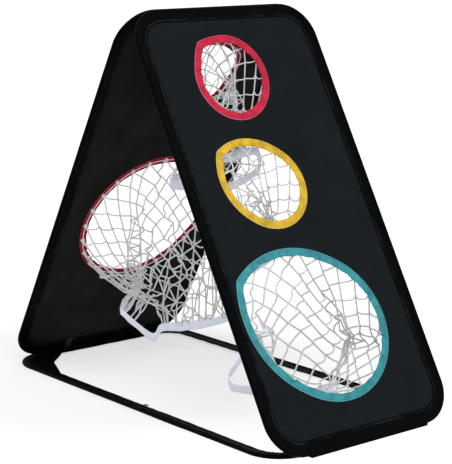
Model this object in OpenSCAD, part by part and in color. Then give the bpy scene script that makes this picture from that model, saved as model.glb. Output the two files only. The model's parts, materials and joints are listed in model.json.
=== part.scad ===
// Pop-up golf chipping net: an A-frame of three sprung steel hoops in fabric
// sleeves, with round target holes and a hanging net behind each of them.
// X runs along the ridge, -Y is the front, +Z is up, and the origin is the
// centre of the base on the floor.

/* [Hoops] */
// Outer width of each hoop
panel_w = 500; // [480:1:520]
// Outer length of each hoop
panel_l = 990; // [970:1:1010]
// Outer corner radius of each hoop
corner_r = 82; // [76:1:90]
// Diameter of the bead that the sleeve makes round the steel
bead_d = 10; // [9.6:0.1:11]
// Diameter of the spring steel wire
wire_d = 4; // [3:0.1:4.2]

/* [Sleeves and fabric] */
// Width of a panel sleeve from its outer edge to its seam
panel_sleeve_w = 32; // [28:1:36]
// Width of the base sleeve
base_sleeve_w = 29; // [24:1:34]
// Thickness of the folded and stitched sleeve band
sleeve_t = 3.6; // [3.4:0.1:4]
// Thickness of the panel fabric
fabric_t = 1.5; // [1.2:0.1:1.6]

/* [Front holes] */
// Outer radius of the red trim, top of the front panel
red_r = 100; // [90:1:104]
// Height up the slope of the red hole's centre
red_v = 821; // [812:1:828]
// Outer radius of the yellow trim, middle of the front panel
yellow_r = 103; // [98:1:108]
// Height up the slope of the yellow hole's centre
yellow_v = 571; // [564:1:580]
// Outer radius of the teal trim, bottom of the front panel
teal_r = 170; // [160:1:172]
// Height up the slope of the teal hole's centre
teal_v = 252; // [246:1:260]

/* [Back holes] */
// Outer radius of the large trim on the back panel
big_r = 180; // [170:1:182]
// Height up the slope of the large hole's centre
big_v = 402; // [396:1:410]
// Outer radius of the small trim at the top of the back panel
top_r = 100; // [90:1:104]
// Height up the slope of the small hole's centre
top_v = 800; // [792:1:808]

/* [Trims, nets and tapes] */
// Width of the bound trim round a hole
trim_w = 19; // [17:1:22]
// Wall of a net pocket, and width of its bars
net_t = 3; // [2.5:0.1:3.5]
// Pitch of the diamond openings between a net's bars
net_pitch = 38; // [34:1:46]
// Height of the tape that closes a net
tape_h = 16; // [12:1:20]
// Width of the hinge tape between the base and the front panel's foot
foot_tape_w = 330; // [200:10:330]
// Width of the hinge tape along the ridge
ridge_tape_w = 330; // [200:10:330]

/* [Hidden] */

bead_r = bead_d / 2;
wire_r = wire_d / 2;
fit_gap = 0.1;                 // between pieces sewn to each other
part_gap = 0.3;                // between pieces that move apart
slot_t = fabric_t + 2 * fit_gap;
slot_depth = 10;               // fabric held between the two layers of a band
wire_bore_r = wire_r + 0.3;
round_fn = 96;
bead_fn = 32;
hull_fn = 32;

// Hoop centre lines
hoop_w = panel_w - bead_d;
hoop_l = panel_l - bead_d;
hoop_corner_r = corner_r - bead_r;

// Crimped ferrule that joins the ends of a wire, on the bottom rail
ferrule_r = 2.9;
ferrule_l = 30;
ferrule_x = 60;

// Foot hinge: the base lies behind the front foot, and turns down and round on
// to the outer face of the front panel about a line at the toe of its tapes
leaf_t = 0.9;
leaf_lift = 0.1;               // lower leaf above the floor
floor_flat = 0.4;              // bead flattened where the base rests
base_z = bead_r - floor_flat;
toe_z = leaf_lift + leaf_t / 2;
foot_z = leaf_lift + leaf_t + 0.5 + bead_r;
toe_offset = bead_r + leaf_t + part_gap + leaf_t / 2;
rail_gap = 0.6;
rail_pitch = bead_d + rail_gap;
foot_rail_y = sqrt(pow(rail_pitch, 2) - pow(foot_z - base_z, 2));
base_span = foot_rail_y + hoop_l;

// Back panel's bottom rail: leans in over the base's rear rail
lean_in = 35;
foot_to_foot_y = base_span - rail_pitch * sin(lean_in);
back_foot_z = base_z + rail_pitch * cos(lean_in);

// Ridge: the hinge line runs below the two top rails, as far inside each
// panel's plane as lets the rails lie beside each other
ridge_offset = rail_pitch / (2 * sin(60));
leg = sqrt(pow(hoop_l, 2) + pow(ridge_offset, 2));
foot_to_foot = sqrt(pow(foot_to_foot_y, 2) + pow(back_foot_z - foot_z, 2));
foot_tilt = atan2(back_foot_z - foot_z, foot_to_foot_y);
apex_angle = acos(foot_to_foot / 2 / leg);
leg_skew = atan2(ridge_offset, hoop_l);
front_slope = apex_angle + foot_tilt + leg_skew;
back_slope = apex_angle - foot_tilt + leg_skew;

// Hinge tapes: the toe line lies this far in front of the foot rail
toe_reach = toe_offset * sin(front_slope)
    + (foot_z - toe_z + toe_offset * cos(front_slope)) / tan(front_slope);
toe_gap = 0.4;                 // from the toe line to the lower leaf
foot_leaf_gap = 2.4;           // from the toe line to the upper leaf
foot_leaf_top = 8;             // upper leaf's top edge above the foot rail
ridge_leaf_h = 30;
ridge_leaf_gap = 0.4;

// Rails along Y, with the object centred on the origin
foot_y = (toe_reach - toe_gap - base_span - bead_r) / 2;
toe_y = foot_y - toe_reach;
base_front_y = foot_y + foot_rail_y;
base_rear_y = base_front_y + hoop_l;
back_foot_y = foot_y + foot_to_foot_y;

// Tabs that stand up from the base's rear rail against the back panel's foot
tab_w = 18;
tab_l = 36;
tab_t = 1.2;
left_tab_x = -95;
right_tab_x = 125;
tab_root_z = base_z + sleeve_t / 2 + part_gap + tab_t / 2;
tab_inwards = bead_r + part_gap + tab_t / 2;
tab_rise = (tab_root_z - back_foot_z + tab_inwards * cos(back_slope)) / sin(back_slope);
tab_root_y = back_foot_y - tab_rise * cos(back_slope) - tab_inwards * sin(back_slope);

// Holes, in their panel's frame: centre across and up from the bottom rail,
// outer radius of the trim, how far the corner at the trim's seam reaches past
// that radius, and the corner's direction
front_kink_angle = 145;        // upper left, seen from the front
back_kink_angle = 28;          // upper left, seen from behind
red_hole = [-30, red_v - bead_r, red_r, 4, front_kink_angle];
yellow_hole = [-32, yellow_v - bead_r, yellow_r, 27, front_kink_angle];
teal_hole = [-17, teal_v - bead_r, teal_r, 46, front_kink_angle];
big_hole = [10, big_v - bead_r, big_r, 46, back_kink_angle];
top_hole = [20, top_v - bead_r, top_r, 20, back_kink_angle];
kink_tip = 6;                  // half width of the corner's blunt tip
kink_root = 0.985;             // where its sides leave the circle
trim_cover = 12;               // from the trim's outer edge to the fabric's edge

// Head cord of each net, laced along the inner face of its trim
head_r = 1.5;
head_inset = 7;                // inside the trim's outer edge
head_z = -(sleeve_t / 2 + head_r + fit_gap);
mouth_h = 3;                   // depth of a net's first row below its head cord
mouth_rim = 1.3;               // from there to the first openings
net_depth = 400;               // past the lowest hem, inwards from a mouth
net_drop = 130;                // from a mouth's lowest point to its hem, down the slope

// Web across the rear left corner of the base, from the inner edges of the rails
gusset_side = 155;
gusset_rear = 105;
gusset_dip = 0.42;             // how far the free edge hangs into the corner

// Blank tag in the seam of the base's left rail
tag_y = -14;
tag_size = [9, 14, 1];

// Net hems, in the object's frame, from left to right
red_hem = [[-145, -24, 492], [-40, -26, 465], [30, -26, 465], [102, -24, 500]];
yellow_hem = [[-100, -150, 320], [-30, -130, 300], [50, -140, 322]];
teal_hem = [[-150, -225, 90], [20, -235, 66], [110, -230, 66], [190, -235, 98]];
big_hem = [[-28, 335, 118], [60, 330, 38], [195, 200, 92]];
top_hem = [[10, 30, 641], [48, 27, 629], [88, 30, 643]];
tape_t = 2.4;
tape_drop = 3.5;               // from the hem down to the top of its tape
hem_h = 1;
hem_zone_h = 4.3;              // uncut wall above and below the hem

// ---- Plane shapes ----

// Rectangle with round corners, centred
module round_rect(w, l, r) {
    square([w - 2 * r, l], center = true);
    square([w, l - 2 * r], center = true);
    for (sx = [-1, 1], sy = [-1, 1])
        translate([sx * (w / 2 - r), sy * (l / 2 - r)])
            circle(r, $fn = round_fn);
}

// Flat band of the given width inside a rounded rectangle
module band(w, l, r, width) {
    difference() {
        round_rect(w, l, r);
        round_rect(w - 2 * width, l - 2 * width, r - width);
    }
}

// Round plate with one corner pulled out to a blunt tip
module kinked_plate(hole, inset, h) {
    r = hole[2] - inset;
    tip = r + hole[3];
    spread = acos(r * kink_root / tip);
    root = r * kink_root * [cos(spread), sin(spread)];
    translate([hole[0], hole[1], -h / 2])
        rotate([0, 0, hole[4]]) {
            rotate([0, 0, 180])
                cylinder(r = r, h = h, $fn = round_fn);
            linear_extrude(h)
                polygon([[0, 0], root, [tip, kink_tip], [tip, -kink_tip], [root.x, -root.y]]);
        }
}

// ---- Placing ----

// From a panel's own plane, X across, Y up the slope from the bottom rail and
// Z outwards, to the object's frame
module on_front() {
    translate([0, foot_y, foot_z])
        rotate([front_slope, 0, 0])
            children();
}

module on_back() {
    translate([0, back_foot_y, back_foot_z])
        mirror([0, 1, 0])
            rotate([back_slope, 0, 0])
                children();
}

module on_panel(side) {
    if (side == "front")
        on_front() children();
    else
        on_back() children();
}

module on_base() {
    translate([0, (base_front_y + base_rear_y) / 2, base_z])
        children();
}

// From a panel's bottom rail to the middle of its hoop
module at_middle() {
    translate([0, hoop_l / 2, 0])
        children();
}

// ---- Hoops and sleeves ----

// Round bar bent into a closed hoop, in the XY plane about the origin
module hoop_bar(r) {
    straight_w = hoop_w - 2 * hoop_corner_r;
    straight_l = hoop_l - 2 * hoop_corner_r;
    for (sy = [-1, 1])
        translate([-straight_w / 2, sy * hoop_l / 2, 0])
            rotate([0, 90, 0])
                cylinder(r = r, h = straight_w, $fn = bead_fn);
    for (sx = [-1, 1])
        translate([sx * hoop_w / 2, straight_l / 2, 0])
            rotate([90, 0, 0])
                cylinder(r = r, h = straight_l, $fn = bead_fn);
    for (turn = [0, 1, 2, 3]) {
        sx = turn == 0 || turn == 3 ? 1 : -1;
        sy = turn < 2 ? 1 : -1;
        translate([sx * straight_w / 2, sy * straight_l / 2, 0])
            rotate([0, 0, 90 * turn])
                rotate_extrude(angle = 90, $fn = round_fn)
                    translate([hoop_corner_r, 0])
                        circle(r, $fn = bead_fn);
    }
}

// Sleeve with its bead, its hollow for the wire and its flat band
module sleeve(width) {
    difference() {
        union() {
            hoop_bar(bead_r);
            translate([0, 0, -sleeve_t / 2])
                linear_extrude(sleeve_t)
                    band(hoop_w, hoop_l, hoop_corner_r, width - bead_r);
        }
        hoop_bar(wire_bore_r);
        at_ferrule()
            cylinder(r = ferrule_r + 0.3, h = ferrule_l + 2, center = true, $fn = bead_fn);
    }
}

// On the bottom rail of a panel, or the front rail of the base
module at_ferrule() {
    translate([ferrule_x, -hoop_l / 2, 0])
        rotate([0, 90, 0])
            children();
}

module ferrule() {
    at_ferrule()
        difference() {
            cylinder(r = ferrule_r, h = ferrule_l, center = true, $fn = bead_fn);
            cylinder(r = wire_r + 0.05, h = ferrule_l + 1, center = true, $fn = bead_fn);
        }
}

// Slot in a panel's sleeve band that holds the edge of the fabric
module fabric_slot() {
    translate([0, 0, -slot_t / 2])
        linear_extrude(slot_t)
            fabric_outline(fit_gap);
}

module fabric_outline(extra) {
    inset = panel_sleeve_w - slot_depth - extra;
    round_rect(panel_w - 2 * inset, panel_l - 2 * inset, corner_r - inset);
}

module panel_sleeve() {
    difference() {
        sleeve(panel_sleeve_w);
        fabric_slot();
    }
}

// ---- Fabric and trims ----

// Panel fabric, in the frame of its bottom rail
module fabric(holes) {
    difference() {
        at_middle()
            translate([0, 0, -fabric_t / 2])
                linear_extrude(fabric_t)
                    fabric_outline(0);
        for (hole = holes)
            kinked_plate(hole, trim_cover, 2 * fabric_t);
    }
}

// Binding folded over the edge of a hole
module trim(hole) {
    difference() {
        kinked_plate(hole, 0, sleeve_t);
        kinked_plate(hole, trim_w, 2 * sleeve_t);
        difference() {
            kinked_plate(hole, -1, slot_t);
            kinked_plate(hole, trim_cover + fit_gap, 2 * slot_t);
        }
    }
}

// Cord that the net's first row hangs on
module head_cord(hole) {
    translate([hole[0], hole[1], head_z])
        rotate_extrude($fn = round_fn)
            translate([hole[2] - head_inset, 0])
                circle(head_r, $fn = 16);
}

// ---- Nets ----

// Mouth of a net, in its panel's frame
module net_mouth(hole, inset) {
    translate([hole[0], hole[1], head_z - head_r - fit_gap - mouth_h])
        cylinder(r = hole[2] - head_inset - inset, h = mouth_h, $fn = hull_fn);
}

// Points that a net is drawn down to, with the wall left by an inset
module net_hem(hem, inset) {
    side = 2 * net_t - 1.8 * inset;
    for (p = hem)
        translate(p + [0, 0, inset + hem_h / 2])
            cube([side, side, hem_h], center = true);
}

// Zone along the hem that the openings stop short of
module net_hem_zone(hem) {
    for (i = [1:len(hem) - 1])
        hull()
            for (p = [hem[i - 1], hem[i]])
                translate(p)
                    cube([5 * net_t, 5 * net_t, 2 * hem_zone_h], center = true);
}

// Diamond openings through a net's wall, in its panel's frame, from below the
// mouth's first row inwards
module net_openings(hole) {
    radius = hole[2];
    depth_down = radius + net_drop;
    count = ceil(sqrt(2) * depth_down / net_pitch);
    places = [for (i = [-count:count], j = [-count:count])
        net_pitch * [i - j, i + j] / sqrt(2)];
    translate([hole[0], hole[1], head_z - head_r - fit_gap - mouth_h - mouth_rim - net_depth])
        linear_extrude(net_depth)
            for (at = places)
                if (abs(at.x) < radius + net_pitch && at.y < radius && at.y > -depth_down)
                    translate(at)
                        rotate([0, 0, 45])
                            square(net_pitch - net_t, center = true);
}

// Net pocket behind a hole, open at its mouth and between its bars
module net(side, hole, hem) {
    difference() {
        hull() {
            on_panel(side) net_mouth(hole, 0);
            net_hem(hem, 0);
        }
        hull() {
            on_panel(side) translate([0, 0, 1]) net_mouth(hole, net_t);
            net_hem(hem, net_t);
        }
        difference() {
            on_panel(side) net_openings(hole);
            net_hem_zone(hem);
        }
    }
}

// Tape sewn flat across the end of a net, below its hem: the hem's plan drawn
// downwards, and cut to the fall of its edges
module net_tape(hem) {
    last = len(hem) - 1;
    back_edge = [for (p = hem) [p.x, p.y + tape_t / 2]];
    front_edge = [for (i = [last:-1:0]) [hem[i].x, hem[i].y - tape_t / 2]];
    top_edge = [for (p = hem) [p.x, p.z - tape_drop]];
    bottom_edge = [for (i = [last:-1:0]) [hem[i].x, hem[i].z - tape_drop - tape_h]];
    intersection() {
        linear_extrude(panel_l)
            polygon(concat(back_edge, front_edge));
        translate([0, panel_l, 0])
            rotate([90, 0, 0])
                linear_extrude(2 * panel_l)
                    polygon(concat(top_edge, bottom_edge));
    }
}

// ---- Hinge tapes and tabs ----

// One leaf of the ridge hinge, inside a panel, ending at the hinge line
module ridge_leaf() {
    translate([-ridge_tape_w / 2, hoop_l - ridge_leaf_h, -bead_r - leaf_t])
        cube([ridge_tape_w, ridge_leaf_h - ridge_leaf_gap, leaf_t]);
}

// Upper leaf of the foot hinge, on the front face of the bottom bead
module foot_leaf() {
    low = foot_leaf_gap - (foot_z - toe_z + toe_offset * cos(front_slope)) / sin(front_slope);
    translate([-foot_tape_w / 2, low, bead_r])
        cube([foot_tape_w, foot_leaf_top - low, leaf_t]);
}

// Lower leaf of the foot hinge, from the toe back to the base's front bead
module base_leaf() {
    difference() {
        translate([-foot_tape_w / 2, toe_y + toe_gap, leaf_lift])
            cube([foot_tape_w, base_front_y - toe_y - toe_gap, leaf_t]);
        translate([0, base_front_y, base_z])
            rotate([0, 90, 0])
                cylinder(r = bead_r, h = foot_tape_w + 2, center = true, $fn = bead_fn);
    }
}

// Webbing tab, turning about its root on the base's rear band
module tab(x) {
    color([0.08, 0.08, 0.09])
        translate([x, tab_root_y, tab_root_z])
            rotate([-back_slope, 0, 0])
                translate([-tab_w / 2, -tab_l, -tab_t / 2])
                    cube([tab_w, tab_l, tab_t]);
}

// ---- Nodes of the front panel ----

module front_hoop() { color("silver") on_front() at_middle() hoop_bar(wire_r); }
module front_ferrule() { color("dimgray") on_front() at_middle() ferrule(); }
module front_sleeve() { color([0.07, 0.07, 0.08]) on_front() at_middle() panel_sleeve(); }
module front_fabric() {
    color([0.12, 0.13, 0.15])
        on_front()
            fabric([red_hole, yellow_hole, teal_hole]);
}
module red_trim() { color("crimson") on_front() trim(red_hole); }
module yellow_trim() { color("gold") on_front() trim(yellow_hole); }
module teal_trim() { color([0.24, 0.64, 0.67]) on_front() trim(teal_hole); }
module red_head_cord() { color("whitesmoke") on_front() head_cord(red_hole); }
module yellow_head_cord() { color("whitesmoke") on_front() head_cord(yellow_hole); }
module teal_head_cord() { color("whitesmoke") on_front() head_cord(teal_hole); }
module red_net() { color("gainsboro") net("front", red_hole, red_hem); }
module yellow_net() { color("gainsboro") net("front", yellow_hole, yellow_hem); }
module teal_net() { color("gainsboro") net("front", teal_hole, teal_hem); }
module red_net_tape() { color("lavender") net_tape(red_hem); }
module yellow_net_tape() { color("lavender") net_tape(yellow_hem); }
module teal_net_tape() { color("lavender") net_tape(teal_hem); }
module front_ridge_tape() { color([0.08, 0.08, 0.09]) on_front() ridge_leaf(); }
module front_foot_tape() { color([0.08, 0.08, 0.09]) on_front() foot_leaf(); }

// ---- Nodes of the back panel ----

module back_hoop() { color("silver") on_back() at_middle() hoop_bar(wire_r); }
module back_ferrule() { color("dimgray") on_back() at_middle() ferrule(); }
module back_sleeve() { color([0.07, 0.07, 0.08]) on_back() at_middle() panel_sleeve(); }
module back_fabric() {
    color([0.12, 0.13, 0.15])
        on_back()
            fabric([big_hole, top_hole]);
}
module big_trim() { color([0.6, 0.06, 0.17]) on_back() trim(big_hole); }
module top_trim() { color([0.6, 0.06, 0.17]) on_back() trim(top_hole); }
module big_head_cord() { color("whitesmoke") on_back() head_cord(big_hole); }
module top_head_cord() { color("whitesmoke") on_back() head_cord(top_hole); }
module big_net() { color("gainsboro") net("back", big_hole, big_hem); }
module top_net() { color("gainsboro") net("back", top_hole, top_hem); }
module big_net_tape() { color("lavender") net_tape(big_hem); }
module top_net_tape() { color("lavender") net_tape(top_hem); }
module back_ridge_tape() { color([0.08, 0.08, 0.09]) on_back() ridge_leaf(); }

// ---- Nodes of the base ----

module base_hoop() { color("silver") on_base() hoop_bar(wire_r); }
module base_ferrule() { color("dimgray") on_base() ferrule(); }
module base_sleeve() {
    color([0.07, 0.07, 0.08])
        on_base()
            difference() {
                sleeve(base_sleeve_w);
                translate([-panel_w, -panel_l, -base_z - bead_d])
                    cube([2 * panel_w, 2 * panel_l, bead_d]);
            }
}

module base_gusset() {
    inner_w = panel_w - 2 * base_sleeve_w - 2 * fit_gap;
    inner_l = panel_l - 2 * base_sleeve_w - 2 * fit_gap;
    color([0.09, 0.09, 0.1])
        on_base()
            translate([0, 0, -fabric_t / 2])
                linear_extrude(fabric_t)
                    intersection() {
                        round_rect(inner_w, inner_l, corner_r - base_sleeve_w - fit_gap);
                        translate([-inner_w / 2, inner_l / 2])
                            polygon([[-1, 1], [gusset_rear, 1],
                                gusset_dip * [gusset_rear, -gusset_side], [-1, -gusset_side]]);
                    }
}
module base_hinge_tape() { color([0.08, 0.08, 0.09]) base_leaf(); }
module base_tag() {
    color("gray")
        translate([-panel_w / 2 + base_sleeve_w, tag_y - tag_size.y / 2, base_z - tag_size.z / 2])
            cube(tag_size);
}
module left_tab() { tab(left_tab_x); }
module right_tab() { tab(right_tab_x); }

front_hoop();
front_ferrule();
front_sleeve();
front_fabric();
red_trim();
yellow_trim();
teal_trim();
red_head_cord();
yellow_head_cord();
teal_head_cord();
red_net();
yellow_net();
teal_net();
red_net_tape();
yellow_net_tape();
teal_net_tape();
front_ridge_tape();
front_foot_tape();
back_hoop();
back_ferrule();
back_sleeve();
back_fabric();
big_trim();
top_trim();
big_head_cord();
top_head_cord();
big_net();
top_net();
big_net_tape();
top_net_tape();
back_ridge_tape();
base_hoop();
base_ferrule();
base_sleeve();
base_gusset();
base_hinge_tape();
base_tag();
left_tab();
right_tab();
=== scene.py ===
"""Pop-up golf chipping net: two fabric panels over a base loop, with five hanging nets.

X runs along the ridge, -Y is the front and +Z is up. Every length is in metres.
"""

import json
import logging
import math
import random
from collections.abc import Callable, Iterable, Sequence
from dataclasses import dataclass
from enum import Enum
from functools import cached_property, partial, reduce
from itertools import product
from typing import Any

import bmesh
import bpy
import numpy as np
from mathutils import Matrix, Vector, noise

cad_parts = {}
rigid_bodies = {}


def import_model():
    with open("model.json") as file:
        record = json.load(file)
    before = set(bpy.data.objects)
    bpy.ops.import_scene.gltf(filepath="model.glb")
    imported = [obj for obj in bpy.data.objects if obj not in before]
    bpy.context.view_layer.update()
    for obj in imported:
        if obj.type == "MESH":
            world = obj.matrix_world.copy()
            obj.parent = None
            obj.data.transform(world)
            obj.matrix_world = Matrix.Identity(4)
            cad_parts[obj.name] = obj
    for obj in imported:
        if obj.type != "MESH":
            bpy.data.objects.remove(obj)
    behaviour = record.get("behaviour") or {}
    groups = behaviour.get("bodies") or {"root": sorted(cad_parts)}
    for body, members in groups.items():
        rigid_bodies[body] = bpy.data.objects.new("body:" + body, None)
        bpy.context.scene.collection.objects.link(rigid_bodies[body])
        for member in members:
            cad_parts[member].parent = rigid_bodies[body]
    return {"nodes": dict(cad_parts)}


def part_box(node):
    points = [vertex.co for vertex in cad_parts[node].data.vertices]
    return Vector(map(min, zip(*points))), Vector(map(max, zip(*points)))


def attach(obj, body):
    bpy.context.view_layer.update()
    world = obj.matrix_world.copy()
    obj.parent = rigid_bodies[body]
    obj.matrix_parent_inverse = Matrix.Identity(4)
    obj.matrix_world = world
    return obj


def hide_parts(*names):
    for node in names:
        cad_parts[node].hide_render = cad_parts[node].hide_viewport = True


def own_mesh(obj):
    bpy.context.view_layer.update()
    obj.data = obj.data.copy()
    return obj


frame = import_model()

LOG = logging.getLogger("chipping_net")
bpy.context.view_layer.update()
MM = 0.001
TAU = 2.0 * math.pi
# Starts noise_vector, which would otherwise differ from run to run.
NOISE_SEED = 7

Colour = tuple[float, float, float]
Point = tuple[float, float, float]


def srgb(red: int, green: int, blue: int) -> Colour:
    """Turn a display colour, in parts from 0 to 255, into the linear one that a shader takes."""
    shares = [part / 255 for part in (red, green, blue)]
    return tuple(s / 12.92 if s <= 0.04045 else ((s + 0.055) / 1.055) ** 2.4 for s in shares)


def shade(colour: Colour, factor: float) -> Colour:
    """Give a colour made lighter or darker by a factor."""
    return tuple(min(1.0, part * factor) for part in colour)


def noise_at(x: float, y: float, z: float) -> float:
    """Give smooth noise, from about -1 to 1, at a place in units of its grain."""
    return noise.noise(Vector((x, y, z)))


def between(low: float, number: float, high: float) -> float:
    """Keep a number between two limits."""
    return max(low, min(high, number))


# ---------------------------------------------------------------- shaders


def operator(operation: str, turned: bool = False) -> Callable[["Value", Any], "Value"]:
    """Make a method of Value that adds one Math node.

    Args:
        operation: The node's operation.
        turned: Whether the other operand comes first.

    Returns:
        The method.
    """

    def method(value: "Value", other: Any) -> "Value":
        """Add the node on this value and a number or another value."""
        return value.math(operation, *((other, value) if turned else (value, other)))

    return method


class Value:
    """A shader socket that takes part in Python expressions."""

    __add__ = __radd__ = operator("ADD")
    __sub__ = operator("SUBTRACT")
    __rsub__ = operator("SUBTRACT", turned=True)
    __mul__ = __rmul__ = operator("MULTIPLY")
    __truediv__ = operator("DIVIDE")
    below = operator("LESS_THAN")

    def __init__(self, shader: "Shader", socket: bpy.types.NodeSocket) -> None:
        """Wrap one output socket of a shader."""
        self.shader = shader
        self.socket = socket

    def math(self, operation: str, *operands: Any) -> "Value":
        """Add one Math node on these operands."""
        return self.shader.node("Math", {"operation": operation}, dict(enumerate(operands)))

    def sine(self, pitch: float) -> "Value":
        """Give a sine wave along this value, one wave for each pitch."""
        return self.math("SINE", self * (TAU / pitch))

    def part(self, pitch: float) -> "Value":
        """Give how far this value is through its own pitch, from 0 to 1."""
        return self.math("FRACT", self / pitch)

    def distance(self, middle: float) -> "Value":
        """Give how far this value is from a middle one."""
        return self.math("ABSOLUTE", self - middle)

    def ramp(self, low: float, high: float) -> "Value":
        """Give 0 below low, 1 above high and a straight rise between them."""
        sockets = {0: self, 1: low, 2: high, 3: 0.0, 4: 1.0}
        return self.shader.node("MapRange", {"clamp": True}, sockets)


class Shader:
    """The node tree of a material or of the world, written as expressions."""

    def __init__(self, name: str, kind: str = "materials") -> None:
        """Start a material, or a world when kind is worlds, under this name."""
        self.owner = getattr(bpy.data, kind).new(name)
        self.owner.use_nodes = True
        self.tree = self.owner.node_tree

    def feed(self, socket: bpy.types.NodeSocket, source: Any) -> None:
        """Link a value to a socket, or set a constant on it.

        Args:
            socket: The input.
            source: The value or the constant. A colour has no alpha.
        """
        if isinstance(source, Value):
            self.tree.links.new(source.socket, socket)
        elif socket.type == "RGBA":
            socket.default_value = (*source, 1.0)
        else:
            socket.default_value = source

    def node(
        self,
        kind: str,
        settings: dict[str, Any] | None = None,
        sockets: dict[int | str, Any] | None = None,
        output: int | str = 0,
    ) -> Value:
        """Add one node.

        Args:
            kind: The node's type, without its ShaderNode prefix.
            settings: The node's own settings, set first.
            sockets: Values or constants for its inputs, by name or number.
            output: The output that is wanted.

        Returns:
            That output, ready for an expression.
        """
        made = self.tree.nodes.new("ShaderNode" + kind)
        for key, setting in (settings or {}).items():
            setattr(made, key, setting)
        for key, source in (sockets or {}).items():
            self.feed(made.inputs[key], source)
        return Value(self, made.outputs[output])

    def place(self) -> Value:
        """Give Object coordinates."""
        return self.node("TexCoord", output="Object")

    def along_across(self) -> tuple[Value, Value]:
        """Give the piece's own two lengths over its surface, in metres."""
        apart = self.node("SeparateXYZ", None, {0: self.node("UVMap", {"uv_map": "cloth"})})
        return apart, Value(self, apart.socket.node.outputs[1])

    def cloud(self, scale: float, detail: float = 3.0, coarse: float = 0.5) -> Value:
        """Give soft noise in Object coordinates, from about 0.3 to 0.7."""
        sockets = {"Vector": self.place(), "Scale": scale, "Detail": detail, "Roughness": coarse}
        return self.node("TexNoise", None, sockets)

    def mix(self, share: Any, first: Any, second: Any) -> Value:
        """Mix two colours by a share."""
        settings = {"data_type": "RGBA", "clamp_factor": True}
        return self.node("Mix", settings, {0: share, 6: first, 7: second}, 2)

    def rays(self, *kinds: str) -> Value:
        """Give 1 to rays of any of these kinds and 0 to all others."""
        seen = [self.node("LightPath", output=f"Is {kind} Ray") for kind in kinds]
        return reduce(operator("MAXIMUM"), seen)

    def show(self, share: Value, first: Value, second: Value) -> None:
        """Show two shaders, mixed by a share."""
        output = next(node for node in self.tree.nodes if node.type.startswith("OUTPUT"))
        self.feed(output.inputs["Surface"], self.node("MixShader", None, {0: share, 1: first, 2: second}))

    def relief(self, height: Value, depth: float, strength: float) -> None:
        """Raise the surface by a height whose full step is depth metres."""
        sockets = {"Strength": strength, "Distance": depth, "Height": height}
        self.dress(Normal=self.node("Bump", None, sockets))

    def dress(self, **inputs: Any) -> bpy.types.Material:
        """Feed the Principled shader, with underscores for spaces, and give the material."""
        for key, source in inputs.items():
            self.feed(self.tree.nodes["Principled BSDF"].inputs[key.replace("_", " ")], source)
        return self.owner


@dataclass(frozen=True)
class Cloth:
    """Plain woven cloth with mottling, fine fuzz and, where asked, a stitched seam, a painted highlight
    beside it and a painted glow.
    """

    name: str
    colour: Colour
    pitch: float = 0.9 * MM
    roughness: float = 0.82
    gloss: float = 0.07
    mottle: float = 0.25
    ribs: float = 0.0
    seam: float = 0.0
    # Strength of a painted glow in the cloth's own colour.
    glow: float = 0.0
    # Colour of a painted highlight along the ridge beside the seam.
    painted_seam_highlight: Colour | None = None

    def material(self) -> bpy.types.Material:
        """Build the material."""
        shader = Shader(self.name + "_look")
        along, across = shader.along_across()
        weave = along.sine(self.pitch) * across.sine(self.pitch)
        patches = shader.cloud(14.0, 4.0, 0.6).ramp(0.32, 0.68)
        fuzz = shader.cloud(700.0, 2.0)
        tone = shader.mix(patches, shade(self.colour, 1 - self.mottle), shade(self.colour, 1 + self.mottle))
        tone = shader.mix((1.0 - weave) * 0.22 + fuzz * 0.25, tone, shade(self.colour, 0.45))
        height = weave * 0.5 + fuzz * 0.6
        if self.ribs:
            gathers = (along + fuzz * 0.6 * MM).sine(self.ribs)
            height = height + gathers * 1.6
        if self.seam:
            line = across.distance(self.seam).below(0.45 * MM)
            stitch = line * along.part(3.4 * MM).below(0.7)
            tone = shader.mix(stitch * 0.8, tone, shade(self.colour, 3.4))
            height = height + stitch * 1.5 - line * 1.0
        # Painted highlight: a lighter streak, in patches, just outside the seam, where light would catch the
        # sleeve's ridge.
        if self.painted_seam_highlight:
            ridge = 1.0 - across.distance(self.seam - 2.6 * MM).ramp(0.2 * MM, 2.0 * MM)
            highlight_patches = shader.cloud(16.0, 4.0, 0.6).ramp(0.42, 0.62)
            tone = shader.mix(ridge * highlight_patches * 0.7, tone, self.painted_seam_highlight)
        shader.relief(height, 0.16 * MM, 0.8)
        return shader.dress(
            Base_Color=tone,
            Roughness=self.roughness - 0.12 * patches,
            Specular_IOR_Level=self.gloss,
            # Painted light: a glow in the cloth's own colour.
            Emission_Color=self.colour,
            Emission_Strength=self.glow,
        )


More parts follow.
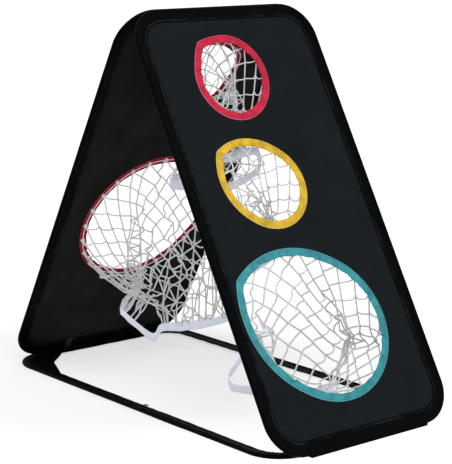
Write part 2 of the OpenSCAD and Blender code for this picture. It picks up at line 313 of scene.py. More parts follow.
@dataclass(frozen=True)
class Binding:
    """Ribbed binding tape with a lighter selvedge, stitching, painted light and shade of folds, and painted
    shade in the puckers where a net is laced.
    """

    name: str
    colour: Colour
    edge: Colour
    thread: Colour
    # Colour of the painted shade in the puckers.
    painted_pucker_shade: Colour

    def material(self) -> bpy.types.Material:
        """Build the material."""
        shader = Shader(self.name + "_look")
        along, across = shader.along_across()
        ribs = along.sine(1.5 * MM)
        picks = across.sine(0.8 * MM)
        fuzz = shader.cloud(600.0, 2.0)
        # Painted shade: soft patches mix darker and lighter copies of the colour, standing in for the light
        # and shade of folds; they also vary the roughness.
        folds = shader.cloud(48.0, 4.0, 0.6).ramp(0.34, 0.66)
        laced = shader.node("Attribute", {"attribute_name": "laced"}, output="Fac")
        tone = shader.mix(folds, shade(self.colour, 0.68), shade(self.colour, 1.2))
        tone = shader.mix((1.0 - ribs * picks) * 0.1 + fuzz * 0.1, tone, shade(self.colour, 0.5))
        tone = shader.mix((1.0 - across.ramp(0.2 * MM, 1.9 * MM)) * 0.62, tone, self.edge)
        row = across.distance(3.6 * MM).below(0.42 * MM)
        stitch = row * along.part(3.6 * MM).below(0.68)
        tone = shader.mix(stitch * 0.75, tone, self.thread)
        # Painted shade: the binding darkens where a lacing puckers it.
        tone = shader.mix(laced * 0.8, tone, self.painted_pucker_shade)
        height = ribs * 0.5 + picks * 0.25 + fuzz * 0.5 + stitch * 2.2 - row * 1.4 - laced * 2.0
        shader.relief(height, 0.16 * MM, 0.85)
        return shader.dress(
            Base_Color=tone,
            Roughness=0.62 + 0.2 * folds,
            Specular_IOR_Level=0.18,
        )


@dataclass(frozen=True)
class Twine:
    """Twisted net twine, fluffy and a little soiled, with a painted glow that lightens it."""

    name: str
    colour: Colour
    # Strength of the twine's painted glow.
    glow: float = 0.1

    def material(self) -> bpy.types.Material:
        """Build the material."""
        shader = Shader(self.name + "_look")
        fibres = shader.cloud(1400.0, 3.0, 0.7)
        soil = shader.cloud(22.0, 3.0).ramp(0.35, 0.7)
        tone = shader.mix(soil, shade(self.colour, 1.04), shade(self.colour, 0.88))
        tone = shader.mix(fibres.ramp(0.45, 0.75) * 0.45, tone, shade(self.colour, 0.62))
        shader.relief(fibres, 0.5 * MM, 0.7)
        return shader.dress(
            Base_Color=tone,
            Roughness=0.66 + 0.2 * fibres,
            Sheen_Weight=0.1,
            Specular_IOR_Level=0.3,
            # Painted light: a glow in the twine's own colour.
            Emission_Color=self.colour,
            Emission_Strength=self.glow,
        )


@dataclass(frozen=True)
class Steel:
    """Drawn spring steel under a thin film of oil."""

    name: str
    colour: Colour
    roughness: float

    def material(self) -> bpy.types.Material:
        """Build the material."""
        shader = Shader(self.name + "_look")
        blotch = shader.cloud(60.0, 4.0, 0.6)
        grain = shader.cloud(900.0, 2.0)
        tone = shader.mix(blotch, shade(self.colour, 0.75), shade(self.colour, 1.15))
        shader.relief(grain, 0.05 * MM, 0.5)
        return shader.dress(
            Base_Color=tone, Metallic=1.0, Roughness=self.roughness + 0.2 * (blotch - 0.5)
        )


class Finish(Enum):
    """Finishes of the pieces, each made into a material once."""

    # The sleeve's light streak beside its seam is a painted highlight.
    SLEEVE = Cloth(
        "sleeve_cloth", srgb(5, 6, 8), gloss=0.014, roughness=0.5, seam=24.5 * MM, painted_seam_highlight=srgb(50, 56, 60)
    )
    BASE_SLEEVE = Cloth(
        "base_sleeve_cloth", srgb(7, 7, 8), gloss=0.02, roughness=0.6, ribs=5.5 * MM, seam=21.5 * MM
    )
    PANEL = Cloth("panel_cloth", srgb(25, 29, 32), pitch=0.8 * MM, roughness=0.9, mottle=0.06)
    INNER = Cloth("inner_cloth", srgb(25, 26, 27), pitch=0.8 * MM, roughness=0.8, mottle=0.3)
    # The last colour of each binding is the painted shade in its puckers.
    RED = Binding(
        "red_binding", srgb(208, 38, 70), srgb(240, 140, 160), srgb(170, 16, 46), srgb(104, 6, 24)
    )
    DARK_RED = Binding(
        "dark_red_binding", srgb(168, 18, 48), srgb(196, 60, 84), srgb(116, 8, 32), srgb(84, 4, 20)
    )
    YELLOW = Binding(
        "yellow_binding", srgb(228, 187, 54), srgb(244, 220, 124), srgb(206, 146, 16), srgb(196, 108, 10)
    )
    TEAL = Binding(
        "teal_binding", srgb(62, 155, 165), srgb(120, 204, 212), srgb(30, 116, 126), srgb(10, 62, 74)
    )
    TWINE = Twine("net_cord", srgb(220, 221, 222))
    # The white tape's glow is painted light that lightens it.
    HEM = Cloth(
        "white_tape", srgb(222, 225, 238), pitch=1.1 * MM, roughness=0.7, gloss=0.2, mottle=0.04,
        seam=3.0 * MM, glow=0.35,
    )
    WEBBING = Cloth("webbing", srgb(14, 14, 16), pitch=1.6 * MM, roughness=0.6, gloss=0.15, seam=2.5 * MM)
    TAG = Cloth("tag_cloth", srgb(132, 134, 138), pitch=0.5 * MM, roughness=0.75, mottle=0.08)
    SPRING = Steel("spring_steel", srgb(176, 178, 182), 0.3)
    FERRULE = Steel("ferrule_steel", srgb(140, 138, 132), 0.42)

    def material(self) -> bpy.types.Material:
        """Give this finish's material, built on its first use."""
        return bpy.data.materials.get(self.value.name + "_look") or self.value.material()


# ---------------------------------------------------------------- planes and paths


@dataclass(frozen=True)
class Plane:
    """Plane of a hoop: X across, V up the slope from its bottom rail and W outwards."""

    body: str
    foot: tuple[float, float]
    slope: float
    facing: int = 1

    @property
    def matrix(self) -> Matrix:
        """Matrix from the plane's own lengths to the object's frame."""
        rise = math.radians(self.slope)
        cos, sin = math.cos(rise), math.sin(rise)
        upward = (0, self.facing * cos, -self.facing * sin, self.foot[0])
        return Matrix(((1, 0, 0, 0), upward, (0, sin, cos, self.foot[1]), (0, 0, 0, 1)))

    @property
    def outward(self) -> Vector:
        """Direction that the panel's outer face looks in."""
        return self.matrix.to_3x3() @ Vector((0, 0, 1))

    def at(self, x: float, v: float, w: float) -> Vector:
        """Give the object's point for a point of the plane."""
        return self.matrix @ Vector((x, v, w))


FRONT = Plane("front_panel", (-0.492422, 0.0065), 60.6056)
BACK = Plane("back_panel", (0.491927, 0.013283), 59.816, -1)
BASE = Plane("base_loop", (-0.481994, 0.0046), 0.0)


@dataclass(frozen=True)
class Hoop:
    """Centre line of a sprung hoop, in its plane."""

    width: float = 0.49
    length: float = 0.98
    corner: float = 0.077

    @property
    def round_length(self) -> float:
        """Length once round the hoop."""
        return 2 * (self.width + self.length) - (8 - TAU) * self.corner

    def locate(self, x: float, v: float) -> tuple[float, float, float]:
        """Find a point beside the line.

        Args:
            x: Place across the plane.
            v: Place up the plane.

        Returns:
            The length along the line, the depth inside it, and how far the point is
            into a corner, from 0 on a straight rail to 1 at 45 degrees.
        """
        ax, ay = self.width / 2 - self.corner, self.length / 2 - self.corner
        y = v - self.length / 2
        cx, cy = between(-ax, x, ax), between(-ay, y, ay)
        turn = (math.atan2(y - cy, x - cx) + TAU / 4) % TAU
        quarters = turn / (TAU / 4)
        rail = round(quarters)
        depth = self.corner - math.hypot(x - cx, y - cy)
        if abs(quarters - rail) < 1e-3:
            straight = (cx, ax + ay + cy, 2 * ax + 2 * ay - cx, 3 * ax + 3 * ay - cy)[rail % 4]
            return straight + self.corner * (rail % 4) * TAU / 4, depth, 0.0
        before = (ax, ax + 2 * ay, 3 * ax + 2 * ay, 3 * ax + 4 * ay)[int(quarters)]
        return before + self.corner * turn, depth, 1 - abs(2 * (quarters % 1) - 1)


HOOP = Hoop()


@dataclass(frozen=True)
class Hole:
    """Target hole, oval, with a peak where the ends of its binding meet.

    The peak stands out by reach in the direction kink and starts spread to each side of
    it. The oval is longer by its own size each way along its axis. Directions are degrees.
    """

    colour: str
    plane: Plane
    x: float
    v: float
    radius: float
    reach: float
    kink: float
    spread: float
    finish: Finish
    oval: float = 0.0
    axis: float = 0.0

    def edge(self, angle: float, inset: float) -> float:
        """Give the distance from the centre to the outline.

        Args:
            angle: Direction from the centre.
            inset: How far the outline is drawn in.

        Returns:
            The distance in that direction.
        """
        turn = abs((angle - math.radians(self.kink) + math.pi) % TAU - math.pi)
        share = max(0.0, 1 - max(turn, 0.02) / math.radians(self.spread))
        drawn = self.oval * math.cos(2 * (angle - math.radians(self.axis)))
        return self.radius - inset + drawn + self.reach * share**1.6

    def flat(self, angle: float, inset: float) -> tuple[float, float]:
        """Give a point of the outline in the hole's plane."""
        reach = self.edge(angle, inset)
        return self.x + reach * math.cos(angle), self.v + reach * math.sin(angle)

    def point(self, angle: float, inset: float, w: float) -> Vector:
        """Give a point round the hole in the object's frame."""
        return self.plane.at(*self.flat(angle, inset), w)

    def direction(self, co: Vector) -> float:
        """Give the direction of a point of the plane from the centre."""
        return math.atan2(co.y - self.v, co.x - self.x)


RED_HOLE = Hole(
    "red", FRONT, x=-0.029, v=0.817, radius=0.099, reach=0.011, kink=125, spread=35, finish=Finish.RED,
    oval=4 * MM, axis=50,
)
YELLOW_HOLE = Hole(
    "yellow", FRONT, x=-0.036, v=0.565, radius=0.101, reach=0.034, kink=139, spread=92, finish=Finish.YELLOW,
    oval=3 * MM,
)
TEAL_HOLE = Hole(
    "teal", FRONT, x=-0.014, v=0.244, radius=0.165, reach=0.060, kink=145, spread=92, finish=Finish.TEAL,
    oval=3.5 * MM,
)
BIG_HOLE = Hole(
    "big", BACK, x=0.010, v=0.397, radius=0.178, reach=0.046, kink=28, spread=60, finish=Finish.DARK_RED
)
TOP_HOLE = Hole(
    "top", BACK, x=0.020, v=0.801, radius=0.101, reach=0.018, kink=28, spread=60, finish=Finish.DARK_RED
)

# Where a head cord runs inside its trim.
HEAD_INSET = 7 * MM
HEAD_DEPTH = -3.4 * MM

# Half the width of the sewn hinges, and how far from a hoop's plane their tapes lie.
HINGE_HALF = 165 * MM
TAPE_LIFT = 5.45 * MM
TAPE_WALL = 0.8 * MM

# Time step of the nets' fall, what it adds to a fall and what the air leaves of a move.
TICK = 0.005
FALL = 9.81 * TICK**2
AIR = 0.93


def smooth_path(points: Sequence[Vector], steps: int, closed: bool = False) -> list[Vector]:
    """Draw a Catmull-Rom curve through points.

    Args:
        points: The points to pass through.
        steps: Points given for each span.
        closed: Whether the last point joins the first.

    Returns:
        The curve's points.
    """
    count = len(points)
    path: list[Vector] = []
    for span in range(count if closed else count - 1):
        picks = [span + k if closed else between(0, span + k, count - 1) for k in (-1, 0, 1, 2)]
        a, b, c, d = (Vector(points[pick % count]) for pick in picks)
        for t in (step / steps for step in range(steps)):
            spot = 2 * b + (c - a) * t
            spot += (2 * a - 5 * b + 4 * c - d) * t * t
            spot += (3 * b - a - 3 * c + d) * t**3
            path.append(0.5 * spot)
    return path if closed else path + [Vector(points[-1])]


def evenly(path: Sequence[Vector], shares: Sequence[float]) -> list[Vector]:
    """Give points at shares of a path's length.

    Args:
        path: The path.
        shares: Where the points lie along it, from 0 to 1.

    Returns:
        The points.
    """
    line = np.array([tuple(p) for p in path])
    lengths = np.concatenate([[0.0], np.cumsum(np.linalg.norm(np.diff(line, axis=0), axis=1))])
    places = np.array(shares) * lengths[-1]
    return [Vector([float(np.interp(at, lengths, line[:, k])) for k in range(3)]) for at in places]


# ---------------------------------------------------------------- pieces


def closed_ring(bm: bmesh.types.BMesh, points: Iterable[Sequence[float]]) -> list[Any]:
    """Draw a closed line and give its points and edges."""
    verts = [bm.verts.new(p) for p in points]
    return verts + [bm.edges.new((verts[k - 1], verts[k])) for k in range(len(verts))]


def flat_grid(size: Sequence[float], cell: Sequence[float], middle: Sequence[float]) -> bmesh.types.BMesh:
    """Draw a flat rectangle, divided into cells.

    Args:
        size: Its width and length.
        cell: Width and length that the cells should have.
        middle: The place of its middle.

    Returns:
        The mesh.
    """
    counts = [max(4, round(whole / part)) for whole, part in zip(size, cell)]
    bm = bmesh.new()
    bmesh.ops.create_grid(bm, x_segments=counts[0], y_segments=counts[1], size=0.5)
    bmesh.ops.scale(bm, vec=(*size, 1), verts=bm.verts[:])
    bmesh.ops.translate(bm, vec=middle, verts=bm.verts[:])
    return bm


def lay_cloth(bm: bmesh.types.BMesh, measure: Callable[[Vector, Vector], tuple[float, float]]) -> None:
    """Write each corner's lengths along and across the cloth into the cloth map.

    Args:
        bm: The mesh, still in its own plane.
        measure: Gives the lengths of a point, told the middle of its face.
    """
    layer = bm.loops.layers.uv.new("cloth")
    for face in bm.faces:
        middle = face.calc_center_median()
        for loop in face.loops:
            loop[layer].uv = measure(loop.vert.co, middle)


def make_piece(
    bm: bmesh.types.BMesh, name: str, finish: Finish, plane: Plane | None = None
) -> bpy.types.Object:
    """Turn a mesh into a finished piece at the origin.

    Args:
        bm: The mesh, which is freed.
        name: The piece's name.
        finish: Its finish.
        plane: The plane that the mesh is drawn in, or None for the object's frame.

    Returns:
        The piece.
    """
    if plane is not None:
        bm.transform(plane.matrix)
        if plane.facing < 0:
            bmesh.ops.reverse_faces(bm, faces=bm.faces[:])
    mesh = bpy.data.meshes.new(name)
    bm.to_mesh(mesh)
    bm.free()
    mesh.shade_smooth()
    mesh.materials.append(finish.material())
    piece = bpy.data.objects.new(name, mesh)
    bpy.context.scene.collection.objects.link(piece)
    return piece


def stands_for(piece: bpy.types.Object, body: str, slot: str, node: str) -> None:
    """Tie a piece to its body and hide the CAD node that it stands for.

    Args:
        piece: The piece.
        body: The body that it rides on.
        slot: Not used.
        node: The node that it stands for.
    """
    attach(piece, body)
    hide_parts(node)
    LOG.info("%s: %d faces on %s", piece.name, len(piece.data.polygons), body)


def thicken(piece: bpy.types.Object, wall: float) -> None:
    """Give a sheet its thickness, half to each side."""
    solid = piece.modifiers.new("wall", "SOLIDIFY")
    solid.thickness = wall
    solid.offset = 0.0


@dataclass
class Sleeve:
    """Fabric sleeve round a hoop: a bead over the wire and a flat band sewn at its inner edge.

    Where asked, it is bunched up along a stretch of its left rail, cut level with the floor
    and pressed flat under the tabs.
    """

    name: str
    plane: Plane
    width: float
    finish: Finish
    node: str
    seed: float
    bead: float = 5 * MM
    step: float = 6 * MM
    floor_cut: float | None = None
    bunch: tuple[float, float] | None = None
    ruffle: float = 1.0
    tabs: tuple[float, ...] = ()
    pressed: float = 1.5 * MM
    slack: float = 0.35 * MM
    fold: float = 1.25 * MM
    pull: float = 0.8 * MM

    def profile(self) -> list[tuple[float, float]]:
        """Give the cross-section.

        Returns:
            Depth inside the wire and height of its points, once round.
        """
        inner = self.width - self.bead
        turns = [math.radians(angle) for angle in range(40, 321, 20)]
        outer = [(self.bead * math.cos(turn), self.bead * math.sin(turn)) for turn in turns]
        flank = (
            (0.30, -2.5), (0.42, -2.1), (0.58, -1.9), (0.74, -1.8), (0.84, -1.75), (0.9, -1.2), (0.95, -1.5)
        )
        lower = [(inner * share, height * MM) for share, height in flank]
        upper = [(depth, -height) for depth, height in reversed(lower)]
        return outer + lower + [(inner, -0.5 * MM), (inner, 0.5 * MM)] + upper

    def sweep(self) -> bmesh.types.BMesh:
        """Carry the cross-section once round the hoop.

        Returns:
            The mesh, in the hoop's plane.
        """
        bm = bmesh.new()
        last = closed_ring(bm, [(0, depth, height) for depth, height in self.profile()])
        spin = partial(bmesh.ops.spin, bm, axis=(0, 0, 1), use_merge=False, use_duplicate=False)
        ax, ay = HOOP.width / 2 - HOOP.corner, HOOP.length - 2 * HOOP.corner
        runs = ((ax, (1, 0)), (ay, (0, 1)), (2 * ax, (-1, 0)), (ay, (0, -1)), (ax, (1, 0)))
        low, high = HOOP.corner, HOOP.corner + ay
        corners = ((ax, low), (ax, high), (-ax, high), (-ax, low), None)
        for (length, (dx, dy)), corner in zip(runs, corners):
            steps = round(length / self.step)
            stride = (dx * length / steps, dy * length / steps, 0)
            last = spin(geom=last, cent=(0, 0, 0), dvec=stride, angle=0.0, steps=steps)["geom_last"]
            if corner:
                turned = spin(geom=last, cent=(*corner, 0), dvec=(0, 0, 0), angle=TAU / 4, steps=30)
                last = turned["geom_last"]
        bmesh.ops.remove_doubles(bm, verts=bm.verts[:], dist=0.01 * MM)
        bmesh.ops.recalc_face_normals(bm, faces=bm.faces[:])
        return bm

    def crease(self, co: Vector) -> None:
        """Move one point into the folds that gather in corners and run along the rails.

        Args:
            co: The point, in the hoop's plane.
        """
        along, depth, bend = HOOP.locate(co.x, co.y)
        share = between(0.0, depth / (self.width - self.bead), 1.0)
        side = 1.0 if co.z >= 0 else -1.0
        loose = self.slack * noise_at(along / (22 * MM), side * 0.7, self.seed) * (0.4 + share) * self.ruffle
        fold_at = along / (8.5 * MM) + 1.3 * noise_at(along / (30 * MM), side, self.seed + 9)
        folds = bend * self.fold * share * math.sin(TAU * fold_at + side)
        puff = 1.0 + 0.05 * noise_at(along / (35 * MM), self.seed, 3.0)
        if self.bunch and co.x < 0 and not bend:
            low, high = self.bunch
            swell = max(0.0, 1 - abs((2 * co.y - low - high) / (high - low)) ** 4)
            puff += swell * (0.32 + 0.22 * noise_at(along / (11 * MM), side * 2, 5.0))
        co.z = co.z * puff + side * (loose + folds) * min(1.0, share * 3)
        if share > 0.6:
            drawn = self.pull * noise_at(along / (26 * MM), 4.0, self.seed) * (share - 0.6)
            co.x += drawn if co.x < 0 else -drawn

    def build(self) -> None:
        """Make the sleeve."""
        bm = self.sweep()
        lay_cloth(bm, self.measure)
        for vert in bm.verts:
            self.crease(vert.co)
            if self.floor_cut is not None:
                vert.co.z = max(vert.co.z, self.floor_cut)
            if self.under_tab(vert.co):
                vert.co.z = min(vert.co.z, self.pressed)
        piece = make_piece(bm, self.name, self.finish, self.plane)
        stands_for(piece, self.plane.body, "sleeve_cloth", self.node)

    def measure(self, co: Vector, middle: Vector) -> tuple[float, float]:
        """Give the lengths of a point along and across the sleeve, near the middle of its face."""
        along, depth, _ = HOOP.locate(co.x, co.y)
        rounds = round((along - HOOP.locate(middle.x, middle.y)[0]) / HOOP.round_length)
        return along - rounds * HOOP.round_length, depth

    def under_tab(self, co: Vector) -> bool:
        """Tell whether a tab that is laid flat would cover a point of the band."""
        near = any(abs(co.x - x) < 16 * MM for x in self.tabs)
        return near and 7.5 * MM < HOOP.length - co.y < self.width


@dataclass
class PanelFabric:
    """Panel fabric, cut out for its holes and stretched between the sleeve's layers."""

    name: str
    plane: Plane
    holes: tuple[Hole, ...]
    finish: Finish
    node: str
    ripple: float
    seed: float
    edge_depth: float = 17 * MM
    cover: float = 12 * MM
    cell: float = 5 * MM

    def build(self) -> None:
        size = (HOOP.width - 2 * self.edge_depth, HOOP.length - 2 * self.edge_depth)
        bm = flat_grid(size, (self.cell, self.cell), (0, HOOP.length / 2, 0))
        waste = [face for face in bm.faces if not self.keeps(face.calc_center_median())]
        bmesh.ops.delete(bm, geom=waste, context="FACES")
        for vert in bm.verts:
            if vert.is_boundary:
                self.snap(vert.co)
        lay_cloth(bm, lambda co, middle: (co.x, co.y))
        area = sum(face.calc_area() for face in bm.faces)
        for vert in bm.verts:
            vert.co.z = self.wave(vert.co)
        piece = make_piece(bm, self.name, self.finish, self.plane)
        thicken(piece, 0.8 * MM)
        stands_for(piece, self.plane.body, "panel_cloth", self.node)

    def keeps(self, co: Vector) -> bool:
        """Tell whether the fabric is there at a point of its plane."""
        inside = self.deep(co) or HOOP.locate(co.x, co.y)[1] >= self.edge_depth
        return inside and all(self.clear_of(hole, co) > 0 for hole in self.holes)

    def deep(self, co: Vector) -> bool:
        """Tell whether a point is inside the rectangle of the hoop's corner centres."""
        across, up = HOOP.width / 2 - HOOP.corner, HOOP.length / 2 - HOOP.corner
        return abs(co.x) < across and abs(co.y - HOOP.length / 2) < up

    def clear_of(self, hole: Hole, co: Vector) -> float:
        """Give how far a point lies outside the cut for a hole."""
        return math.hypot(co.x - hole.x, co.y - hole.v) - hole.edge(hole.direction(co), self.cover)

    def snap(self, co: Vector) -> None:
        """Draw a cut point onto the outline that it is nearest to."""
        for hole in self.holes:
            if abs(self.clear_of(hole, co)) < 1.5 * self.cell:
                co.x, co.y = hole.flat(hole.direction(co), self.cover)

    def wave(self, co: Vector) -> float:
        """Give the height of the fabric's ripples, which die out towards its edges.

        Args:
            co: A point of the plane.

        Returns:
            The height there.
        """
        depth = 1.0 if self.deep(co) else HOOP.locate(co.x, co.y)[1]
        calm = between(0.0, (depth - 30 * MM) / (40 * MM), 1.0)
        height = calm * noise_at(co.x / 0.11, co.y / 0.16, self.seed)
        for hole in self.holes:
            off = self.clear_of(hole, co) - self.cover
            free = between(0.0, off / (12 * MM), 1.0)
            angle = hole.direction(co)
            around = noise_at(5.2 * math.cos(angle), 5.2 * math.sin(angle), 2 * (self.seed + hole.v))
            height = height * free + calm * free * 1.6 * math.exp(-max(off, 0) / 0.035) * around
        return height * self.ripple


@dataclass
class Trim:
    """Binding folded over the edge of a hole, pulled in where the net is laced to it."""

    hole: Hole
    laces: int
    width: float = 19 * MM
    step: float = 2 * MM
    pinched: float = 2.1 * MM
    seed: int = 1

    def profile(self) -> list[tuple[float, float]]:
        """Give the cross-section.

        Returns:
            Inset and height of its points, once round.
        """
        half = (
            (0.0, 0.9), (0.6, 1.35), (1.6, 1.5), (2.8, 1.5), (3.6, 1.2), (4.4, 1.5), (7.0, 1.75),
            (10.5, 1.8), (14.0, 1.85), (16.5, 1.75), (18.0, 1.35), (18.8, 0.7),
        )
        upper = [(inset * MM, height * MM) for inset, height in half]
        return upper + [(self.width, 0.0)] + [(inset, -height) for inset, height in reversed(upper)]

    def build(self) -> None:
        """Make the trim."""
        hole, rng = self.hole, random.Random(self.seed)
        bm = bmesh.new()
        ring = closed_ring(bm, [(hole.radius - inset, 0, height) for inset, height in self.profile()])
        steps = round(TAU * hole.radius / self.step)
        bmesh.ops.spin(
            bm, geom=ring, cent=(0, 0, 0), axis=(0, 0, 1), dvec=(0, 0, 0), angle=TAU, steps=steps,
            use_merge=True, use_duplicate=False,
        )
        bmesh.ops.recalc_face_normals(bm, faces=bm.faces[:])
        lay_cloth(bm, self.measure)
        laced = bm.verts.layers.float.new("laced")
        marks = [
            (TAU * k / self.laces, rng.uniform(0.3, 1.0) ** 1.5, rng.uniform(-0.02, 0.02))
            for k in range(self.laces)
        ]
        for vert in bm.verts:
            # The pucker strength also sets the painted shade in the puckers.
            vert[laced] = self.shape(vert.co, marks)
        bmesh.ops.translate(bm, vec=(hole.x, hole.v, 0), verts=bm.verts[:])
        piece = make_piece(bm, f"{hole.colour}_trim_binding", hole.finish, hole.plane)
        stands_for(piece, hole.plane.body, hole.finish.value.name, f"{hole.colour}_trim")

    def measure(self, co: Vector, middle: Vector) -> tuple[float, float]:
        """Give the lengths of a point along and across the binding, near the middle of its face."""
        near = math.atan2(middle.y, middle.x)
        turn = (math.atan2(co.y, co.x) - near + math.pi) % TAU - math.pi
        return (near + turn) * self.hole.radius, self.hole.radius - math.hypot(co.x, co.y)

    def shape(self, co: Vector, marks: list[tuple[float, float, float]]) -> float:
        """Move one point to the real outline.

        Args:
            co: The point, on the round ring.
            marks: Direction, strength and skew of each lacing.

        Returns:
            How strongly a lacing puckers the binding there, which also sets the painted shade there.
        """
        radius, angle = self.hole.radius, math.atan2(co.y, co.x)
        inset = radius - math.hypot(co.x, co.y)
        share = inset / self.width
        pinch = 0.0
        for mark, strength, skew in marks:
            off = ((angle - mark - skew * share + math.pi) % TAU - math.pi) * radius
            pinch = max(pinch, strength * math.exp(-((off / self.pinched) ** 2)))
        around = Vector((math.cos(angle), math.sin(angle), self.hole.v * 7)) * (radius / (16 * MM))
        scallop = share * share * (2.2 * noise.noise(around) + 3.6 * (0.3 - pinch)) * MM
        reach = self.hole.edge(angle, inset * 0.9 + scallop)
        co.x, co.y = reach * math.cos(angle), reach * math.sin(angle)
        co.z *= 1.0 + 0.10 * noise.noise(around * 1.7 + Vector((3, 0, 0))) - 0.25 * pinch * share
        return pinch * between(0.0, (share - 0.15) * 1.6, 1.0)


def cords(
    name: str, paths: Iterable[Sequence[Vector]], radius: float, sides: int = 1, closed: bool = False
) -> bmesh.types.BMesh:
    """Draw round cords of one diameter along paths.

    Args:
        name: The name of the curve that draws them.
        paths: The points of each cord.
        radius: Half their diameter.
        sides: How finely they are rounded.
        closed: Whether each joins its own start.

    Returns:
        One mesh of all of them.
    """
    curve = bpy.data.curves.new(name, "CURVE")
    curve.dimensions = "3D"
    curve.bevel_depth = radius
    curve.bevel_resolution = sides
    curve.use_fill_caps = True
    for path in paths:
        spline = curve.splines.new("POLY")
        spline.points.add(len(path) - 1)
        spline.points.foreach_set("co", [part for p in path for part in (*p, 1.0)])
        spline.use_cyclic_u = closed
    holder = bpy.data.objects.new(name, curve)
    bpy.context.scene.collection.objects.link(holder)
    bpy.context.view_layer.update()
    tubes = bpy.data.meshes.new_from_object(holder.evaluated_get(bpy.context.evaluated_depsgraph_get()))
    bm = bmesh.new()
    bm.from_mesh(tubes)
    for data, used in ((bpy.data.objects, holder), (bpy.data.curves, curve), (bpy.data.meshes, tubes)):
        data.remove(used)
    return bm


@dataclass
class Net:
    """Diamond net, a tube laced to its trim, cut shorter where the hem is near, and taped there.

    Attributes:
        hem: Points of the tape's upper edge, in millimetres.
        ends: Points where its strands are gathered, in millimetres, or none for the hem.
        bar: Length from knot to knot, with inner points inside it.
        cord: Radius of its cord.
        head_cord: Radius of the cord that it hangs on.
        slack: How much longer than its straight drop it is cut.
        sag: How far it may hang below the straight drop.
        spread: How firmly knots push each other apart.
        keep: Not used.
        row_drop: Height of a row as a share of a bar.
        loose: Share of the lacings that leave a cut end.
        tangle: How far the strands stray between the gathers and the tape.
    """

    hole: Hole
    columns: int
    rows: int
    hem: tuple[Point, ...]
    seed: int
    ends: tuple[Point, ...] = ()
    bar: float = 38 * MM
    cord: float = 1.9 * MM
    head_cord: float = 1.2 * MM
    slack: float = 1.14
    sag: float = 11 * MM
    spread: float = 0.07
    keep: float = 0.02
    tape_height: float = 17 * MM
    inner: int = 3
    row_drop: float = 0.82
    loose: float = 0.13
    tangle: float = 14 * MM

    def mouth(self, angle: float) -> Vector:
        """Give the point of the head cord in one direction."""
        return self.hole.point(angle, HEAD_INSET, HEAD_DEPTH)

    @cached_property
    def hem_path(self) -> list[Vector]:
        """Closed path of the hem, smoothly round its points."""
        return smooth_path([Vector(p) * MM for p in self.hem], 8, closed=True)

    def turned(self, row: int, column: int) -> float:
        """Give the direction of a knot from the middle of its net."""
        return TAU * ((column + 0.5 * (row % 2)) % self.columns) / self.columns

    def end(self, angle: float) -> Vector:
        """Give the point where the net is gathered or sewn to its tape, in one direction."""
        return self.ends_path[int(len(self.ends_path) * (angle % TAU) / TAU) % len(self.ends_path)]

    @cached_property
    def ends_path(self) -> list[Vector]:
        """Closed path of the points where the net's strands end."""
        return smooth_path([Vector(p) * MM for p in self.ends or self.hem], 40, closed=True)

    def last_row(self, angle: float) -> int:
        """Give the last row of knots in one direction: the nearer the hem, the fewer rows."""
        length = (self.end(angle) - self.mouth(angle)).length * self.slack
        return between(3, round(length / (self.row_drop * self.bar)), self.rows)

    def stands(self, row: int, column: int) -> bool:
        """Tell whether the net reaches down to a knot."""
        return row <= self.last_row(self.turned(row, column))

    def ends_at(self, row: int, column: int) -> bool:
        """Tell whether a knot is one of those that are held by the tape."""
        return not all(self.stands(row + 1, self.below(row, column, side)) for side in (0, 1))

    def knot(self, row: int, column: int) -> int:
        """Give the number of a knot."""
        return row * self.columns + column % self.columns

    def bar_points(self, row: int, column: int, side: int) -> range:
        """Give the numbers of the points inside the bar that leaves a knot to one side."""
        first = self.columns * (self.rows + 1) + ((row * self.columns + column) * 2 + side) * self.inner
        return range(first, first + self.inner)

    def below(self, row: int, column: int, side: int) -> int:
        """Give the column of the knot at the lower end of a bar."""
        return (column - 1 + side + row % 2) % self.columns

    def layout(self) -> tuple[np.ndarray, list[list[int]], np.ndarray]:
        """Number the net's knots and the points inside its bars.

        Returns:
            The first guess of every point, the points along every bar, and which
            points are held.
        """
        points: list[Vector] = []
        held: list[bool] = []
        for row, k in product(range(self.rows + 1), range(self.columns)):
            angle = self.turned(row, k)
            last = not self.stands(row, k) or self.ends_at(row, k)
            share = 1.0 if last else row / self.last_row(angle)
            points.append(self.mouth(angle).lerp(self.end(angle), share))
            held.append(row == 0 or last)
        bars = []
        for row, k, side in product(range(self.rows), range(self.columns), (0, 1)):
            foot_column = self.below(row, k, side)
            top, foot = self.knot(row, k), self.knot(row + 1, foot_column)
            there = self.stands(row, k) and self.stands(row + 1, foot_column)
            for place in range(self.inner):
                points.append(points[top].lerp(points[foot], (place + 1) / (self.inner + 1)))
                held.append(not there)
            if there:
                bars.append([top, *self.bar_points(row, k, side), foot])
        return np.array([tuple(p) for p in points]), bars, np.array(held)

    def ties(self, bars: list[list[int]]) -> tuple[np.ndarray, np.ndarray, np.ndarray, np.ndarray]:
        """List what keeps pairs of points apart or together.

        Args:
            bars: The points along every bar.

        Returns:
            The pairs, their lengths, how firmly each is kept, and which ones only push.
        """
        rng = np.random.default_rng(self.seed + 1)
        half = self.bar / (self.inner + 1)
        ties: list[tuple[int, int, float, float, bool]] = []
        for bar in bars:
            size = half * rng.uniform(0.92, 1.08)
            ties += [(a, b, size, 1.0, False) for a, b in zip(bar, bar[1:])]
            ties += [(a, b, 1.85 * size, 0.12, True) for a, b in zip(bar, bar[2:])]
        for row, k in product(range(1, self.rows), range(self.columns)):
            width = rng.uniform(0.85, 1.15) * self.bar
            knot = self.knot(row, k)
            if self.stands(row, k) and self.stands(row, k + 1):
                ties.append((knot, self.knot(row, k + 1), width, self.spread, True))
            if row < self.rows - 1 and self.stands(row + 2, k):
                ties.append((knot, self.knot(row + 2, k), width, self.spread, True))
        table = np.array(ties)
        return table[:, :2].astype(int), table[:, 2], table[:, 3], table[:, 4] > 0

